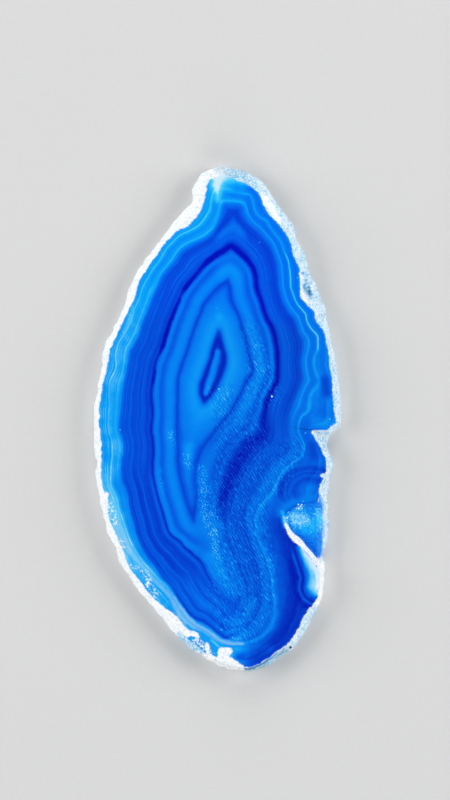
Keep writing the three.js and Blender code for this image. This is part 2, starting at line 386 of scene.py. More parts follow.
# How light the dyed stone is, from 0 (ink) to 1 (white), at each growth level
TONES = {
    "heart": [
        (0.70, 0.55), (0.80, 0.55), (0.86, 0.43), (0.91, 0.18), (0.97, 0.12), (1.03, 0.24),
        (1.09, 0.43), (1.18, 0.55), (1.30, 0.60), (1.50, 0.56), (1.66, 0.52), (1.78, 0.485),
        (1.87, 0.43), (1.94, 0.33), (1.99, 0.26), (2.04, 0.36), (2.12, 0.46), (2.25, 0.53),
        (2.38, 0.52), (2.50, 0.44), (2.58, 0.37), (2.66, 0.36), (2.72, 0.42), (2.80, 0.48),
    ],
    "west": [
        (2.80, 0.47), (2.88, 0.46), (2.93, 0.36), (2.97, 0.20), (3.01, 0.12), (3.05, 0.19),
        (3.10, 0.27), (3.16, 0.25), (3.22, 0.30), (3.35, 0.33), (3.42, 0.29), (3.50, 0.32),
        (3.58, 0.28), (3.67, 0.35), (3.76, 0.31), (3.88, 0.33), (3.95, 0.38), (3.99, 0.50),
        (4.05, 0.56), (4.13, 0.60), (4.17, 0.66), (4.20, 0.75), (4.23, 0.66), (4.38, 0.61),
        (4.52, 0.64), (4.63, 0.67), (4.665, 0.80), (4.70, 0.67), (4.78, 0.60), (4.90, 0.58),
        (5.02, 0.66),
    ],
    "east": [
        (2.78, 0.47), (2.83, 0.40), (2.88, 0.25), (2.93, 0.10), (2.98, 0.04), (3.03, 0.08),
        (3.08, 0.19), (3.14, 0.30), (3.21, 0.36), (3.30, 0.34), (3.42, 0.35), (3.52, 0.32),
        (3.62, 0.285), (3.75, 0.245), (3.85, 0.26), (3.92, 0.33), (4.00, 0.42), (4.08, 0.46),
        (4.16, 0.50), (4.22, 0.62), (4.28, 0.49), (4.37, 0.43), (4.48, 0.43), (4.58, 0.47),
        (4.63, 0.60), (4.67, 0.82), (4.71, 0.61), (4.77, 0.47), (4.84, 0.43), (4.92, 0.48),
        (5.02, 0.60),
    ],
    "shoulder": [
        (2.80, 0.46), (2.86, 0.34), (2.91, 0.12), (2.96, 0.03), (3.01, 0.06), (3.06, 0.17),
        (3.11, 0.27), (3.19, 0.35), (3.32, 0.34), (3.42, 0.38), (3.55, 0.32), (3.67, 0.27),
        (3.77, 0.30), (3.87, 0.40), (3.97, 0.55), (4.03, 0.62), (4.08, 0.74), (4.14, 0.64),
        (4.30, 0.58), (4.42, 0.54), (4.53, 0.61), (4.62, 0.68), (4.67, 0.79), (4.73, 0.66),
        (4.80, 0.62), (4.90, 0.62), (5.02, 0.70),
    ],
    "crown": [
        (2.05, 0.48), (2.30, 0.57), (2.42, 0.57), (2.52, 0.50), (2.62, 0.42), (2.77, 0.46),
        (2.83, 0.38), (2.89, 0.27), (2.94, 0.13), (2.99, 0.06),
        (3.05, 0.12), (3.10, 0.18), (3.15, 0.28), (3.20, 0.33), (3.28, 0.37), (3.37, 0.38),
        (3.44, 0.40), (3.50, 0.44), (3.58, 0.46), (3.63, 0.41), (3.70, 0.32), (3.77, 0.25),
        (3.84, 0.25), (3.90, 0.33), (3.98, 0.42), (4.09, 0.53), (4.18, 0.71), (4.26, 0.60),
        (4.46, 0.47), (4.66, 0.62), (4.80, 0.55), (5.02, 0.80),
    ],
    "hip": [
        (2.80, 0.50), (2.90, 0.49), (2.95, 0.42), (2.98, 0.27), (3.02, 0.16), (3.06, 0.27),
        (3.12, 0.37), (3.19, 0.29), (3.27, 0.21), (3.34, 0.26), (3.41, 0.33), (3.49, 0.30),
        (3.56, 0.23), (3.61, 0.22), (3.67, 0.31), (3.72, 0.36), (3.80, 0.32), (3.89, 0.26),
        (3.95, 0.30), (4.02, 0.42), (4.08, 0.49), (4.18, 0.52), (4.31, 0.55), (4.42, 0.51),
        (4.50, 0.56), (4.58, 0.63), (4.66, 0.70), (4.74, 0.76), (4.80, 0.75), (4.88, 0.70),
        (5.02, 0.78),
    ],
    "foot": [
        (2.05, 0.52), (2.85, 0.50), (2.92, 0.43), (3.00, 0.44), (3.07, 0.38), (3.12, 0.35),
        (3.17, 0.37), (3.22, 0.41), (3.30, 0.39), (3.42, 0.35), (3.53, 0.46), (3.60, 0.44),
        (3.67, 0.38), (3.73, 0.32), (3.78, 0.32), (3.83, 0.39), (3.87, 0.42), (3.92, 0.36),
        (3.97, 0.27), (4.05, 0.25), (4.14, 0.28), (4.22, 0.38), (4.32, 0.48), (4.45, 0.53),
        (4.55, 0.56), (4.62, 0.57), (4.69, 0.60), (4.76, 0.62), (4.84, 0.62), (4.93, 0.62),
        (5.02, 0.66),
    ],
    "hollow": [
        (2.05, 0.36), (2.15, 0.38), (2.25, 0.43), (2.35, 0.43), (2.45, 0.37), (2.55, 0.33),
        (2.67, 0.37), (2.75, 0.35), (2.82, 0.28), (2.90, 0.20), (2.97, 0.15), (3.05, 0.11),
        (3.12, 0.13), (3.20, 0.18), (3.30, 0.24), (3.40, 0.29), (3.50, 0.34), (3.60, 0.35),
        (3.70, 0.33), (3.92, 0.32), (4.00, 0.37), (4.10, 0.41), (4.22, 0.445), (4.32, 0.44),
        (4.45, 0.42), (4.55, 0.425), (4.62, 0.47), (4.67, 0.56), (4.72, 0.45), (4.79, 0.35),
        (5.02, 0.44),
    ],
    "tail": [
        (2.05, 0.50), (2.80, 0.49), (2.92, 0.43), (3.00, 0.44), (3.07, 0.40), (3.13, 0.34),
        (3.20, 0.31), (3.27, 0.35), (3.34, 0.38), (3.40, 0.34), (3.46, 0.385), (3.53, 0.36),
        (3.60, 0.325), (3.66, 0.36), (3.72, 0.31), (3.80, 0.34), (3.87, 0.29), (3.95, 0.34),
        (4.02, 0.40), (4.10, 0.42), (4.20, 0.45), (4.35, 0.44), (4.45, 0.41), (4.53, 0.38),
        (4.60, 0.44), (4.66, 0.51), (4.73, 0.46), (4.78, 0.26), (4.83, 0.17), (4.88, 0.16),
        (4.94, 0.19), (5.02, 0.30),
    ],
}

# The same by millimetres from the centre of the eye, and across the wavy bands
EYE_TONES = [
    (0.0, 0.43), (1.5, 0.45), (2.25, 0.42), (3.25, 0.33), (4.0, 0.27), (4.5, 0.32), (5.0, 0.355),
    (5.4, 0.32), (5.75, 0.27), (6.25, 0.345), (6.6, 0.30), (7.0, 0.26), (7.8, 0.31), (8.5, 0.40),
]
WAVE_TONES = [
    (-3.6, 0.96), (-3.0, 0.90), (-2.4, 0.83), (-1.9, 0.74), (-1.5, 0.61), (-1.15, 0.45),
    (-0.8, 0.33), (-0.35, 0.27), (0.0, 0.12), (0.3, 0.22), (0.55, 0.33), (0.75, 0.38),
    (1.0, 0.26), (1.35, 0.14), (2.2, 0.09), (3.0, 0.13), (3.8, 0.18), (5.0, 0.21),
]


# Settings that a user would change

def length_setting(name, description, default, low, high):
    """A length setting of the mesh in metres."""
    return FloatProperty(
        name=name, description=description, default=default, min=low, max=high,
        unit="LENGTH", precision=5)


class StoneShape(bpy.types.PropertyGroup):
    """Mesh sizes of the dressed stone."""
    face_step: length_setting(
        "Face Step", "Width of the mesh cells on the polished face", 0.0004, 0.0002, 0.005)
    back_step: length_setting(
        "Back Step", "Width of the mesh cells on the sawn back", 0.0009, 0.0002, 0.005)
    chip_step: length_setting(
        "Chip Step", "Width of the mesh cells in the chip", 0.0003, 0.0001, 0.005)
    rind_cuts: IntProperty(
        name="Rind Cuts", description="Cuts across each edge of the rind", default=2, min=0, max=4)
    rind_depth: length_setting(
        "Rind Depth", "Depth of the pits and folds in the rind", 0.00042, 0.0, 0.001)
    left_swell: length_setting(
        "Left Swell", "How far the rind stands out on the left side", 0.0003, 0.0, 0.001)
    crystal_height: length_setting(
        "Crystal Height", "Height of the small crystals in the chip", 0.0003, 0.0, 0.001)


def colour_setting(name, description, colour):
    """A colour setting of the stone or the studio."""
    return FloatVectorProperty(
        name=name, description=description, subtype="COLOR_GAMMA", size=3,
        default=colour, min=0, max=1)


class StoneColours(bpy.types.PropertyGroup):
    """Colours of the dye from its deepest to its palest, and of the rind."""
    ink: colour_setting("Ink", "Deepest dye", (0.0, 0.0, 0.64))
    navy: colour_setting("Navy", "Dye in the dark rings", (0.0, 0.09, 0.69))
    royal: colour_setting("Royal Blue", "Dye between the dark rings", (0.002, 0.26, 0.795))
    cobalt: colour_setting("Cobalt", "Dye of middle depth", (0.006, 0.38, 0.88))
    azure: colour_setting("Azure", "Clear light dye", (0.012, 0.53, 0.95))
    cyan: colour_setting("Cyan", "Thin dye near the rind", (0.09, 0.67, 0.965))
    pale: colour_setting("Pale Cyan", "Dye in the pale lines", (0.56, 0.83, 0.99))
    bright_ink: colour_setting("Bright Ink", "Deepest dye at the narrow end", (0.0, 0.0, 0.70))
    bright_navy: colour_setting("Bright Navy", "Dark rings there", (0.0, 0.09, 0.79))
    bright_royal: colour_setting("Bright Royal", "Between the rings there", (0.0, 0.26, 0.865))
    bright_cobalt: colour_setting("Bright Cobalt", "Middle dye there", (0.006, 0.38, 0.935))
    bright_azure: colour_setting("Bright Azure", "Light dye there", (0.004, 0.53, 0.985))
    bright_cyan: colour_setting("Bright Cyan", "Thin dye there", (0.03, 0.67, 1.0))
    bright_pale: colour_setting("Bright Pale", "Pale lines there", (0.27, 0.83, 1.0))
    milk: colour_setting("Milk", "Pale milky line near the foot", (0.52, 0.79, 0.975))
    chalk: colour_setting("Chalk", "White of the rind", (0.985, 0.99, 0.995))
    rind_haze: colour_setting("Rind Haze", "Bluish white of the rind", (0.80, 0.90, 0.965))
    rind_shade: colour_setting("Rind Shade", "Pale blue blots in the rind", (0.50, 0.77, 0.91))
    rind_pit: colour_setting("Rind Pit", "Teal in the pits of the rind", (0.30, 0.66, 0.88))
    bare_light: colour_setting(
        "Bare Light", "Light streaks where the rind is gone", (0.70, 0.86, 0.94))
    bare_dark: colour_setting(
        "Bare Dark", "Dark streaks where the rind is gone", (0.30, 0.55, 0.72))
    # Painted shadow: near-black colour for the shade inside a small pit in the lower rim
    hole: colour_setting("Hole", "Dark pit in the lower rim", (0.02, 0.10, 0.16))


class StudioSettings(bpy.types.PropertyGroup):
    """Floor, lights and lens of the studio."""
    floor: colour_setting("Floor", "Colour of the floor", (0.86, 0.86, 0.86))
    side_power: FloatProperty(
        name="Side Lights", description="Power of each side light",
        default=5.95, min=0.0, unit="POWER")
    end_power: FloatProperty(
        name="End Lights", description="Power of each end light",
        default=4.3, min=0.0, unit="POWER")
    lens: FloatProperty(
        name="Lens", description="Focal length of the camera in millimetres",
        default=300.0, min=20.0, unit="CAMERA")


# Lines and strokes on the tracing grid

def to_grid(points):
    """Places in metres as places on the tracing grid."""
    grid = np.empty((len(points), 2))
    grid[:, 0] = points[:, 0] / TRACE_STEP + TRACE_CENTRE[0]
    grid[:, 1] = TRACE_CENTRE[1] - points[:, 1] / TRACE_STEP
    return grid


def from_grid(x, y):
    """A place on the tracing grid as a place in metres."""
    return (x - TRACE_CENTRE[0]) * TRACE_STEP, (TRACE_CENTRE[1] - y) * TRACE_STEP


def within(box, x, y):
    """True where a place on the grid lies in a box."""
    left, right, top, bottom = box
    return (x > left) & (x < right) & (y > top) & (y < bottom)


def smooth_line(points, closed):
    """Dense places along a curve through the points, with sharp turns kept sharp."""
    spots = [Vector(p) for p in points]
    count = len(spots)

    def spot(index):
        if closed:
            return spots[index % count]
        return spots[min(max(index, 0), count - 1)]

    def heading(index, span):
        before = spot(index) - spot(index - 1)
        after = spot(index + 1) - spot(index)
        if before.length == 0 or after.length == 0:
            return (before + after).normalized() * span
        if before.angle(after) > math.radians(CORNER_DEGREES):
            return None
        return (before.normalized() + after.normalized()).normalized() * span

    line = []
    for index in range(count if closed else count - 1):
        start, end = spot(index), spot(index + 1)
        run = end - start
        leave = heading(index, run.length) or run
        arrive = heading(index + 1, run.length) or run
        steps = max(2, math.ceil(run.length / LINE_STEP) + 1)
        piece = interpolate_bezier(start, start + leave / 3, end - arrive / 3, end, steps)
        line.extend(piece[:-1])
    if not closed:
        line.append(spots[-1])
    return np.array([(p.x, p.y) for p in line])


def distance_to(line, closed, places):
    """Distance of each place from a dense line, and the side of it: 1 on the left."""
    tree = KDTree(len(line))
    for index, (x, y) in enumerate(line):
        tree.insert((x, y, 0), index)
    tree.balance()
    near = np.array([tree.find((x, y, 0))[1] for x, y in places])
    best = np.full(len(places), np.inf)
    side = np.ones(len(places))
    last = len(line) - 1
    for offset in (-1, 0):
        first, second = near + offset, near + offset + 1
        if closed:
            first, second = first % len(line), second % len(line)
        else:
            first, second = np.clip(first, 0, last), np.clip(second, 0, last)
        start, run = line[first], line[second] - line[first]
        reach = (run * run).sum(1)
        along = np.clip(((places - start) * run).sum(1) / np.maximum(reach, TINY), 0, 1)
        gap = places - start - along[:, None] * run
        length = np.hypot(gap[:, 0], gap[:, 1])
        cross = run[:, 0] * gap[:, 1] - run[:, 1] * gap[:, 0]
        closer = length < best
        best = np.where(closer, length, best)
        side = np.where(closer & (reach > 0), np.where(cross > 0, -1.0, 1.0), side)
    return best, side


def inside(line, places):
    """True where a place lies inside a closed line."""
    x, y = places[:, 0], places[:, 1]
    result = np.zeros(len(places), bool)
    for (x1, y1), (x2, y2) in zip(np.roll(line, 1, 0), line):
        if y1 != y2:
            crosses = (y1 > y) != (y2 > y)
            result ^= crosses & (x < (x2 - x1) * (y - y1) / (y2 - y1) + x1)
    return result


def growth_levels(places, edge_line):
    """Growth level of each place, and its distance outside the outermost traced ring."""
    levels = list(RINGS) + [RIND_LEVEL]
    lines = [smooth_line(points, True) for points in RINGS.values()] + [edge_line]
    gaps = [distance_to(line, True, places)[0] for line in lines]
    held = [inside(line, places) for line in lines]
    result = np.full(len(places), RIND_LEVEL)
    for outer in range(len(levels) - 1, 0, -1):
        inner = outer - 1
        share = gaps[inner] / (gaps[inner] + gaps[outer] + TINY)
        value = levels[inner] + (levels[outer] - levels[inner]) * share
        result = np.where(held[outer], value, result)
    heart_gap = distance_to(smooth_line(HEART, False), False, places)[0]
    share = heart_gap / (heart_gap + gaps[0] + TINY)
    result = np.where(held[0], HEART_LEVEL + (levels[0] - HEART_LEVEL) * share, result)
    return result, np.where(held[-2], -gaps[-2], gaps[-2]) / STEPS_PER_MM


def stroke_cover(strokes, places):
    """Millimetres inside the nearest stroke, negative outside it."""
    cover = np.full(len(places), -np.inf)
    for stroke in strokes:
        ends = list(zip(stroke, stroke[1:])) or [(stroke[0], stroke[0])]
        for (x1, y1, r1), (x2, y2, r2) in ends:
            run = np.array((x2 - x1, y2 - y1), float)
            from_start = places - (x1, y1)
            along = np.clip(from_start @ run / max(run @ run, TINY), 0, 1)
            gap = from_start - along[:, None] * run
            radius = r1 + (r2 - r1) * along
            cover = np.maximum(cover, radius - np.hypot(gap[:, 0], gap[:, 1]))
    return np.clip(cover / STEPS_PER_MM, -COVER_LIMIT, COVER_LIMIT)


def ease(values, low, high):
    """Soft step from 0 at low to 1 at high."""
    share = np.clip((values - low) / (high - low), 0, 1)
    return share * share * (3 - 2 * share)


# The mesh of the stone

def in_plane(face, height):
    """True for a face whose corners all lie at one height."""
    return all(abs(vert.co.z - height) < FLAT_TOLERANCE for vert in face.verts)


def flat_faces(shell, height, up):
    """Faces that lie in one of the two sawn planes."""
    return [
        face for face in shell.faces
        if face.normal.z * up > FLAT_NORMAL and in_plane(face, height)
    ]


def chip_faces(shell, top):
    """Faces of the floor and walls of the chip."""
    found = []
    for face in shell.faces:
        middle = face.calc_center_median()
        below_face = CHIP_FLOOR_HEIGHT < middle.z < top - CHIP_BELOW_FACE
        if below_face and face.normal.z > CHIP_NORMAL:
            x, y = to_grid(np.array([middle]))[0]
            if within(CHIP_HOLLOW, x, y):
                found.append(face)
    return found


def wall_faces(shell, top):
    """Faces of the rind: all but the two sawn planes and the chip."""
    others = set(flat_faces(shell, top, 1)) | set(flat_faces(shell, 0.0, -1))
    others |= set(chip_faces(shell, top))
    return [face for face in shell.faces if face not in others]


def open_up(shell, faces):
    """Dissolves the edges between faces of one plane, so that the plane can be cut afresh."""
    chosen = set(faces)
    inner = dict.fromkeys(
        edge for face in faces for edge in face.edges
        if all(other in chosen for other in edge.link_faces))
    bmesh.ops.dissolve_edges(shell, edges=list(inner), use_verts=True)


def cut_in_cells(shell, faces, step):
    """Cuts faces along a square grid, first across and then along the stone."""
    for axis in (0, 1):
        places = [vert.co[axis] for face in faces for vert in face.verts]
        normal = Vector((0, 0, 0))
        normal[axis] = 1
        waiting = faces
        done = []
        for index in range(math.ceil(min(places) / step), math.ceil(max(places) / step)):
            at = normal * (index * step)
            geometry = dict.fromkeys(waiting)
            for face in waiting:
                geometry.update(dict.fromkeys(face.edges))
                geometry.update(dict.fromkeys(face.verts))
            cut = bmesh.ops.bisect_plane(
                shell, geom=list(geometry), dist=MERGE_DISTANCE, plane_co=at, plane_no=normal)
            waiting = []
            for part in cut["geom"]:
                if isinstance(part, bmesh.types.BMFace):
                    beyond = part.calc_center_median()[axis] > index * step
                    (waiting if beyond else done).append(part)
        faces = done + waiting
    return faces


def crystal_rise(place, height):
    """How far the floor of the chip rises at a place in millimetres."""
    distances, _ = noise.voronoi(place * CRYSTALS_PER_MM)
    rise = height * (distances[1] - distances[0] - CRYSTAL_FOOT)
    rise += height * CRYSTAL_ROLL * noise.noise(place * ROLL_PER_MM)
    return min(rise, CRYSTAL_LIMIT)


def rough_rind(shell, settings, top):
    """Folds, lumps and grit on the rind, in and out alike, and crystals in the chip."""
    shell.normal_update()
    low, high = SOLID_BOX
    chip_verts = {vert for face in chip_faces(shell, top) for vert in face.verts}
    moves = []
    for vert in shell.verts:
        on_face = abs(vert.co.z - top) < FLAT_TOLERANCE
        at_edge = on_face or abs(vert.co.z) < FLAT_TOLERANCE
        rim = any(abs(face.normal.z) < RIM_NORMAL for face in vert.link_faces)
        if at_edge and not rim:
            continue
        place = vert.co * MM_PER_METRE
        if vert in chip_verts and not on_face:
            rise = crystal_rise(place, settings.crystal_height)
            moves.append((vert, Vector((0, 0, rise))))
            continue
        relief = sum(strength * noise.noise(place * waves) for strength, waves in RIND_RELIEF)
        depth = settings.rind_depth * relief
        normal = vert.normal.copy()
        if at_edge:
            normal.z = 0
            if normal.length < NO_DIRECTION:
                continue
            normal.normalize()
            depth *= EDGE_RELIEF
        depth += settings.left_swell * min(max(-SWELL_SPREAD * normal.x, 0.0), 1.0)
        moves.append((vert, normal * depth))
    for vert, move in moves:
        vert.co += move
        vert.co.x = min(max(vert.co.x, low.x), high.x)
        vert.co.y = min(max(vert.co.y, low.y), high.y)
        vert.co.z = min(max(vert.co.z, 0.0), top)


def give_looks(shell, top):
    """Gives each face its material, and a sharp edge wherever two of them meet."""
    for face in shell.faces:
        x, y = to_grid(np.array([face.calc_center_median()]))[0]
        if in_plane(face, top):
            face.material_index = POLISHED
        elif in_plane(face, 0.0):
            face.material_index = SAWN
        else:
            face.material_index = BROKEN if within(CHIP_LOOK, x, y) else RIND
        face.smooth = face.material_index == RIND
    for edge in shell.edges:
        edge.smooth = len({face.material_index for face in edge.link_faces}) == 1


def build_stone_mesh(node, settings):
    """The dressed stone as a mesh: fine cells on its faces and a rough rind."""
    shell = bmesh.new()
    shell.from_mesh(node.data)
    bmesh.ops.remove_doubles(shell, verts=shell.verts[:], dist=MERGE_DISTANCE)
    shell.normal_update()
    top = max(vert.co.z for vert in shell.verts)

    bmesh.ops.join_triangles(
        shell, faces=wall_faces(shell, top), angle_face_threshold=WALL_FACE_ANGLE,
        angle_shape_threshold=WALL_SHAPE_ANGLE)
    wall_edges = dict.fromkeys(edge for face in wall_faces(shell, top) for edge in face.edges)
    bmesh.ops.subdivide_edges(
        shell, edges=list(wall_edges), cuts=settings.rind_cuts, use_grid_fill=True)
    shell.normal_update()

    cut_in_cells(shell, chip_faces(shell, top), settings.chip_step)
    for height, up, step in ((top, 1, settings.face_step), (0.0, -1, settings.back_step)):
        open_up(shell, flat_faces(shell, height, up))
        cut_in_cells(shell, flat_faces(shell, height, up), step)
    shell.normal_update()

    bmesh.ops.triangulate(shell, faces=[f for f in shell.faces if len(f.verts) > 4])
    rough_rind(shell, settings, top)
    bmesh.ops.dissolve_degenerate(shell, dist=MERGE_DISTANCE, edges=shell.edges[:])
    shell.normal_update()
    give_looks(shell, top)

    mesh = bpy.data.meshes.new("agate_stone")
    shell.to_mesh(mesh)
    shell.free()
    return mesh


def face_edge(mesh):
    """The closed line round the polished face, dense, on the tracing grid."""
    shell = bmesh.new()
    shell.from_mesh(mesh)
    rim = [
        edge for edge in shell.edges
        if sorted(face.material_index == POLISHED for face in edge.link_faces) == [False, True]
    ]
    path = [rim[0].verts[0], rim[0].verts[1]]
    used = {rim[0]}
    chosen = set(rim)
    while True:
        following = [e for e in path[-1].link_edges if e in chosen and e not in used]
        if not following:
            break
        used.add(following[0])
        path.append(following[0].other_vert(path[-1]))
    line = to_grid(np.array([vert.co[:2] for vert in path[:-1]]))
    shell.free()
    return line


def bridge_chip(line):
    """The edge line as it ran before the chip broke out."""
    line = line.copy()
    line[within(CHIP_GAP, line[:, 0], line[:, 1]), 0] = CHIP_GAP[1]
    return line


def mark_stone(mesh):
    """Stores the growth level and the laid-on markings on the mesh."""
    flat = np.empty(len(mesh.vertices) * 3)
    mesh.vertices.foreach_get("co", flat)
    places = to_grid(flat.reshape(-1, 3))
    x, y = places[:, 0], places[:, 1]
    edge_line = bridge_chip(face_edge(mesh))
    level, beyond = growth_levels(places, edge_line)
    edge_gap, _ = distance_to(edge_line, True, places)
    spine_gap, spine_side = distance_to(smooth_line(SPINE, False), False, places)
    wave_gap, wave_side = distance_to(smooth_line(WAVE_LINE, False), False, places)
    east = ease(spine_gap * spine_side, -SPINE_BLEND, SPINE_BLEND)
    west = 1 - east
    top_part = 1 - ease(y, *TOP_PART)
    crown = top_part * (1 - ease(np.abs(x - CROWN_MIDDLE), *CROWN_REACH))
    low_part = ease(y, *LOW_PART)
    teal = ease(stroke_cover(STROKES["teal"], places), *TEAL_EDGE)
    bright = 1 - ease(y, *BRIGHT_PART)
    marks = {
        "level": level,
        "beyond": beyond,
        "rim": np.where(inside(edge_line, places), edge_gap, -edge_gap) / STEPS_PER_MM,
        "east": east,
        "crown": crown,
        "shoulder": west * top_part * (1 - crown),
        "hip": west * ease(y, *HIP_PART) * (1 - low_part),
        "foot": west * low_part,
        "hollow": east * ease(y, *HOLLOW_PART),
        "tail": east * ease(y, *TAIL_PART),
        "glow": np.maximum.reduce([bright, GLOW_LOW + GLOW_WEST * west, teal]),
        "wave": -wave_gap * wave_side / STEPS_PER_MM,
        "eye": np.hypot(x - EYE_CENTRE[0], (y - EYE_CENTRE[1]) / EYE_FLATNESS) / STEPS_PER_MM,
    }
    for name, strokes in STROKES.items():
        marks[name] = stroke_cover(strokes, places)
    for name, values in marks.items():
        layer = mesh.attributes.new(name, "FLOAT", "POINT")
        layer.data.foreach_set("value", values.astype(np.float32))


# Nodes

VALUE = "NodeSocketFloat"
COLOUR = "NodeSocketColor"
NOISE_MIDDLE = 0.5

# The colour sockets of a mix: its names also belong to its float sockets.
MIX_FIRST, MIX_SECOND, MIX_RESULT = 6, 7, 2


class Bench:
    """Adds nodes to one node tree and joins them up."""

    def __init__(self, tree):
        self.tree = tree

    def feed(self, socket, value):
        if isinstance(value, bpy.types.NodeSocket):
            self.tree.links.new(value, socket)
        elif value is not None:
            socket.default_value = value

    def add(self, kind, **settings):
        node = self.tree.nodes.new(kind)
        for name, value in settings.items():
            setattr(node, name, value)
        return node

    def mark(self, name):
        return self.add("ShaderNodeAttribute", attribute_name=name).outputs["Fac"]

    def place(self):
        return self.add("ShaderNodeTexCoord").outputs["Object"]

    def math(self, operation, first, second=None, third=None, clamp=False):
        node = self.add("ShaderNodeMath", operation=operation, use_clamp=clamp)
        for socket, value in zip(node.inputs, (first, second, third)):
            self.feed(socket, value)
        return node.outputs[0]

    def times(self, first, second):
        return self.math("MULTIPLY", first, second)

    def minus(self, first, second, clamp=False):
        return self.math("SUBTRACT", first, second, clamp=clamp)

    def plus(self, value, extra, share):
        """A value with a share of another one added."""
        return self.math("MULTIPLY_ADD", extra, share, value)

    def mix(self, share, first, second):
        node = self.add("ShaderNodeMix", data_type="FLOAT")
        self.feed(node.inputs["Factor"], share)
        self.feed(node.inputs["A"], first)
        self.feed(node.inputs["B"], second)
        return node.outputs["Result"]

    def mix_colour(self, share, first, second):
        node = self.add("ShaderNodeMix", data_type="RGBA")
        self.feed(node.inputs["Factor"], share)
        self.feed(node.inputs[MIX_FIRST], first)
        self.feed(node.inputs[MIX_SECOND], second)
        return node.outputs[MIX_RESULT]

    def step(self, value, low, high, start=0.0, end=1.0):
        """Soft step of a value: start up to low, end from high on."""
        node = self.add("ShaderNodeMapRange", interpolation_type="SMOOTHSTEP")
        for socket, number in zip(node.inputs, (value, low, high, start, end)):
            self.feed(socket, number)
        return node.outputs[0]

    def laid(self, name, fray=None, share=1.0):
        """Mask of the strokes of one name, with their softness and frayed by a share of a noise."""
        cover = self.mark(name)
        if fray is not None:
            cover = self.math("ADD", cover, self.times(fray, share))
        return self.step(cover, -SOFT[name], SOFT[name])

    def noise(self, place, scale, detail=2.0, rough=0.5, **settings):
        node = self.add("ShaderNodeTexNoise", **settings)
        flat = node.noise_dimensions == "1D"
        self.feed(node.inputs["W" if flat else "Vector"], place)
        self.feed(node.inputs["Scale"], scale)
        self.feed(node.inputs["Detail"], detail)
        self.feed(node.inputs["Roughness"], rough)
        return node.outputs[0]

    def swing(self, place, *noise_settings):
        """A noise that swings to both sides of nothing."""
        return self.minus(self.noise(place, *noise_settings), NOISE_MIDDLE)

    def patches(self, place, noise_settings, reach):
        """Soft patches where a noise is high."""
        return self.step(self.noise(place, *noise_settings), *reach)

    def lines(self, value, *noise_settings):
        """A noise along one value, such as the growth level."""
        return self.noise(value, *noise_settings, noise_dimensions="1D")

    def turned(self, place, turn, size=(1, 1, 1)):
        """Places turned about the upright, and counted in steps of a size."""
        node = self.add("ShaderNodeMapping", vector_type="TEXTURE")
        self.feed(node.inputs["Vector"], place)
        node.inputs["Rotation"].default_value = (0, 0, turn)
        node.inputs["Scale"].default_value = size
        return node.outputs[0]

    def ramp(self, value, stops):
        node = self.add("ShaderNodeValToRGB")
        points = node.color_ramp.elements
        while len(points) < len(stops):
            points.new(1.0)
        for point, (position, colour) in zip(points, stops):
            point.position = position
            point.color = colour
        self.feed(node.inputs[0], value)
        return node.outputs[0]

    def tones(self, level, stops):
        """Tone of the dye at a growth level, from a row of (level, tone)."""
        low, high = stops[0][0], stops[-1][0]
        share = self.math("DIVIDE", self.minus(level, low), high - low)
        return self.ramp(share, [((at - low) / (high - low), (t, t, t, 1)) for at, t in stops])

    def group(self, name, tone=None):
        """A node group in its place, with what feeds its Tone."""
        node = self.add("ShaderNodeGroup", node_tree=bpy.data.node_groups[name])
        if tone is not None:
            self.feed(node.inputs["Tone"], tone)
        return node.outputs


def new_group(name, inputs, outputs):
    """An empty node group with named float or colour sockets."""
    tree = bpy.data.node_groups.new(name, "ShaderNodeTree")
    for way, sockets in (("INPUT", inputs), ("OUTPUT", outputs)):
        for label, kind in sockets.items():
            tree.interface.new_socket(label, in_out=way, socket_type=kind)
    bench = Bench(tree)
    return bench, bench.add("NodeGroupInput").outputs, bench.add("NodeGroupOutput").inputs


def linear(colour):
    """A display colour as a scene colour with full alpha."""
    parts = (c / 12.92 if c <= 0.04045 else ((c + 0.055) / 1.055) ** 2.4 for c in colour)
    return (*parts, 1.0)


def colour_stops(colours, row):
    """Stops of a ramp, from a row of (position, name of a colour setting)."""
    return [(at, linear(getattr(colours, name))) for at, name in row]


# From here on a noise is (turns to the metre or to the level, detail, roughness), and a range
# is (low, high) or (low, high, value at low, value at high).

# The tone at which each colour of the dye stands, in its deep and its bright form
DYE = (
    (0.0, "ink"), (0.09, "navy"), (0.26, "royal"), (0.38, "cobalt"),
    (0.53, "azure"), (0.67, "cyan"), (0.83, "pale"),
)


def make_dye_group(colours):
    """Tone of the stone to its dyed colour, brighter towards the narrow end."""
    bench, given, out = new_group("Dye", {"Tone": VALUE}, {"Color": COLOUR})
    forms = []
    for form in ("", "bright_"):
        row = [(at, form + name) for at, name in DYE] + [(1.0, "chalk")]
        forms.append(bench.ramp(given["Tone"], colour_stops(colours, row)))
    bench.feed(out["Color"], bench.mix_colour(bench.mark("glow"), *forms))


# How far the bands waver, and where the heart's bands pass into those of the outer parts
WAVER = (500.0, 3.0)
WAVER_SHARE = 0.05
SHIVER = (2500.0, 2.0)
SHIVER_SHARE = 0.02
EYE_WAVER = 0.5
OUTER_RANGE = (2.77, 2.83)
HEART_RANGE = (2.05, 2.12)

# The lightest tone of the faint stretches, west and east, and how far the eye's rings reach
# in millimetres from its centre and beyond the outermost traced ring
FAINT_WEST = 0.665
FAINT_EAST = 0.57
EYE_RANGE = (8.6, 7.8)
EYE_BEYOND = (-0.2, 0.6)

# Fine lines between the bands: their tone, and how strong they are from place to place
FINE_LINES = (21.0, 2.0, 0.6)
FINE_TONE = (0.36, 0.64, -0.5, 0.5)
FINE_PATCHES = (170.0, 3.0)
FINE_STRENGTH = (0.38, 0.62, 0.04, 0.12)
FINE_BY_LEVEL = (2.5, 3.1, 0.12, 1.0)
FINE_BY_CROWN = (0.9, 0.1, 0.5, 1.0)

